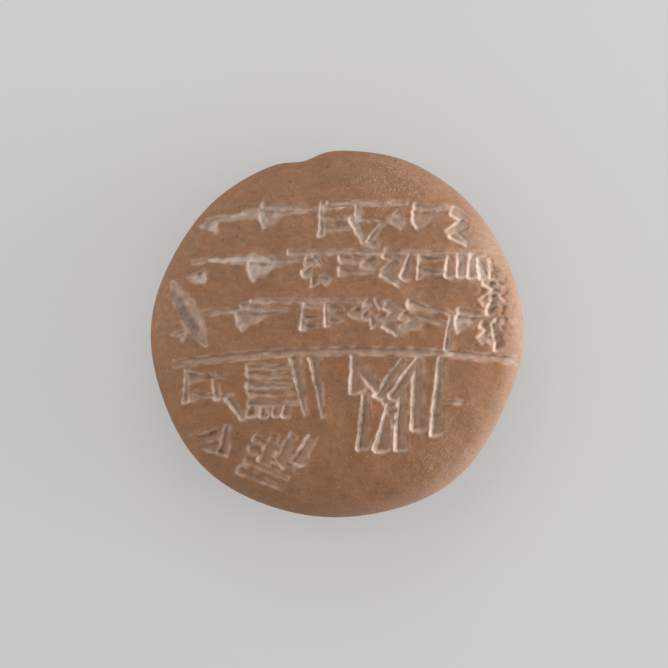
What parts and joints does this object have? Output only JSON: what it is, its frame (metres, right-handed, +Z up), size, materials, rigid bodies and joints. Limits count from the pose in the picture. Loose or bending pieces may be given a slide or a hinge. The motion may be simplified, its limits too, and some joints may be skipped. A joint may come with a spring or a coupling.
{
  "type": "round clay cuneiform tablet",
  "caption": "Round lens-shaped clay tablet with rows of wedge impressions, a ruled line and a leaf-shaped gouge on one face, plain back, lying on its back.",
  "frame": {"origin": "middle of the outline, on the surface that the tablet rests on", "axes": "+Z up out of the inscribed face, +X along the lines of writing to the right as they are read, +Y towards the tablet's upper edge"},
  "size_m": [0.08, 0.0786, 0.0226],
  "materials": {
    "clay": "matte reddish-brown fine clay with paler greyish impressions and thin whitish deposit"
  },
  "bodies": {
    "root": {"tablet": "clay"}
  },
  "joints": []
}
